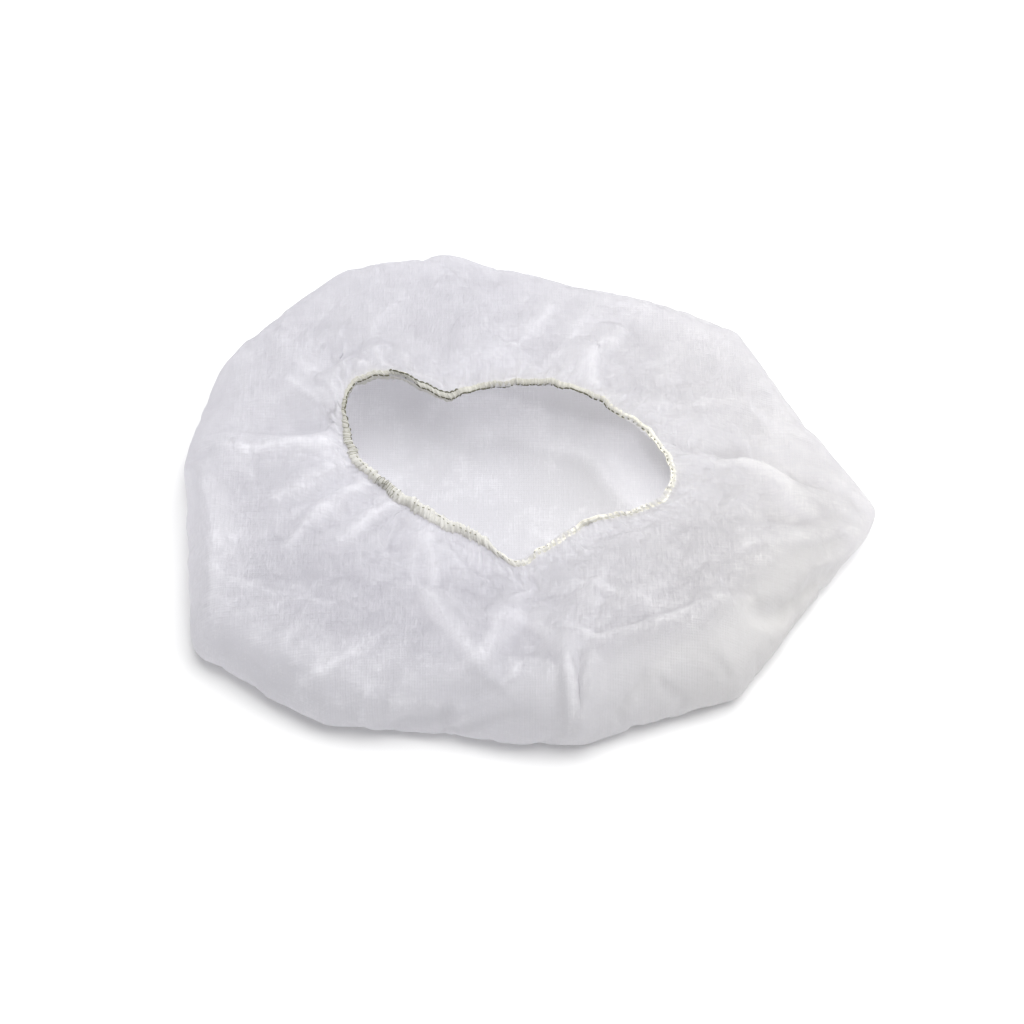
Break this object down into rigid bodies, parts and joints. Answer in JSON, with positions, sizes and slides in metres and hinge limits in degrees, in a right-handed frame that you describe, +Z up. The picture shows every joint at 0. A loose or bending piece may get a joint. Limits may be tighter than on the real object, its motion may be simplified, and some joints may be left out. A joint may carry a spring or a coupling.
{
  "type": "bouffant cap",
  "caption": "Disposable bouffant cap of thin white nonwoven cloth with a gathered elastic hem, lying on its crown with the mouth up.",
  "frame": {"origin": "middle of the cap's box, on the surface that the crown lies on", "axes": "+X along the cap's longer side, towards its pointed corner; +Z up, out of the mouth"},
  "size_m": [0.3324, 0.2887, 0.0434],
  "materials": {
    "nonwoven_cloth": "matt, slightly translucent spunbonded nonwoven",
    "sewn_elastic": "matt, yarn-covered rubber thread"
  },
  "bodies": {
    "root": {"crown": "nonwoven_cloth", "elastic_band": "sewn_elastic"}
  },
  "joints": []
}
